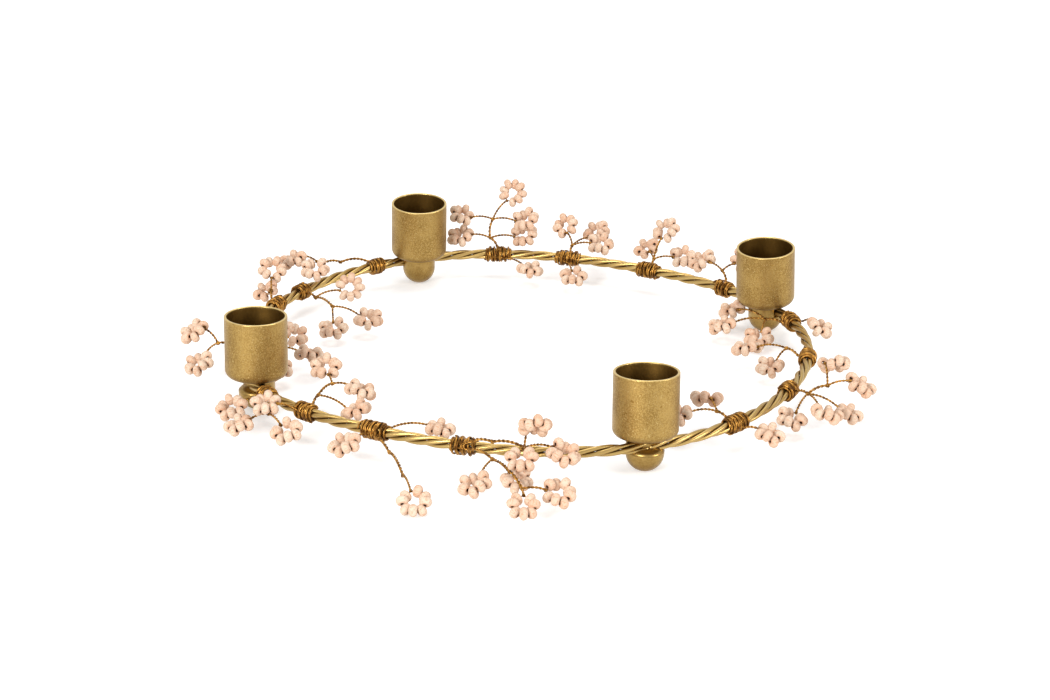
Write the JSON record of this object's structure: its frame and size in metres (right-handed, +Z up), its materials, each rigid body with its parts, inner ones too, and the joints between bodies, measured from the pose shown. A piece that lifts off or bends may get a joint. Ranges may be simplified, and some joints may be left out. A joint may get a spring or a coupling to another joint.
{
  "type": "candle ring",
  "caption": "Ring of twisted brass wires on domed feet that carry candle cups, with bound wire twigs of small wooden beads.",
  "frame": {"origin": "middle of the ring on the table top that the feet stand on", "axes": "+Z up, -Y towards the front as pictured, +X to the right"},
  "size_m": [0.2801, 0.3043, 0.0438],
  "materials": {
    "ring_brass": "bright satin",
    "cup_brass": "satin, antique",
    "foot_brass": "satin, antique",
    "binding_wire": "dark copper tone",
    "twig_wire": "dark copper tone",
    "bead_wood": "matt, pale peach"
  },
  "bodies": {
    "root": {"ring_strand_1": "ring_brass", "ring_strand_2": "ring_brass", "ring_strand_3": "ring_brass", "ring_strand_4": "ring_brass", "candle_cup_front": "cup_brass", "foot_front": "foot_brass", "candle_cup_right": "cup_brass", "foot_right": "foot_brass", "candle_cup_back": "cup_brass", "foot_back": "foot_brass", "candle_cup_left": "cup_brass", "foot_left": "foot_brass", "binding_01": "binding_wire", "twig_wire_01": "twig_wire", "twig_beads_01": "bead_wood", "binding_02": "binding_wire", "twig_wire_02": "twig_wire", "twig_beads_02": "bead_wood", "binding_03": "binding_wire", "twig_wire_03": "twig_wire", "twig_beads_03": "bead_wood", "binding_04": "binding_wire", "twig_wire_04": "twig_wire", "twig_beads_04": "bead_wood", "binding_05": "binding_wire", "twig_wire_05": "twig_wire", "twig_beads_05": "bead_wood", "binding_06": "binding_wire", "twig_wire_06": "twig_wire", "twig_beads_06": "bead_wood", "binding_07": "binding_wire", "twig_wire_07": "twig_wire", "twig_beads_07": "bead_wood", "binding_08": "binding_wire", "twig_wire_08": "twig_wire", "twig_beads_08": "bead_wood", "binding_09": "binding_wire", "twig_wire_09": "twig_wire", "twig_beads_09": "bead_wood", "binding_10": "binding_wire", "twig_wire_10": "twig_wire", "twig_beads_10": "bead_wood", "binding_11": "binding_wire", "twig_wire_11": "twig_wire", "twig_beads_11": "bead_wood", "binding_12": "binding_wire", "twig_wire_12": "twig_wire", "twig_beads_12": "bead_wood", "binding_13": "binding_wire", "twig_wire_13": "twig_wire", "twig_beads_13": "bead_wood", "binding_14": "binding_wire", "twig_wire_14": "twig_wire", "twig_beads_14": "bead_wood", "binding_15": "binding_wire", "twig_wire_15": "twig_wire", "twig_beads_15": "bead_wood", "binding_16": "binding_wire", "twig_wire_16": "twig_wire", "twig_beads_16": "bead_wood"}
  },
  "joints": []
}
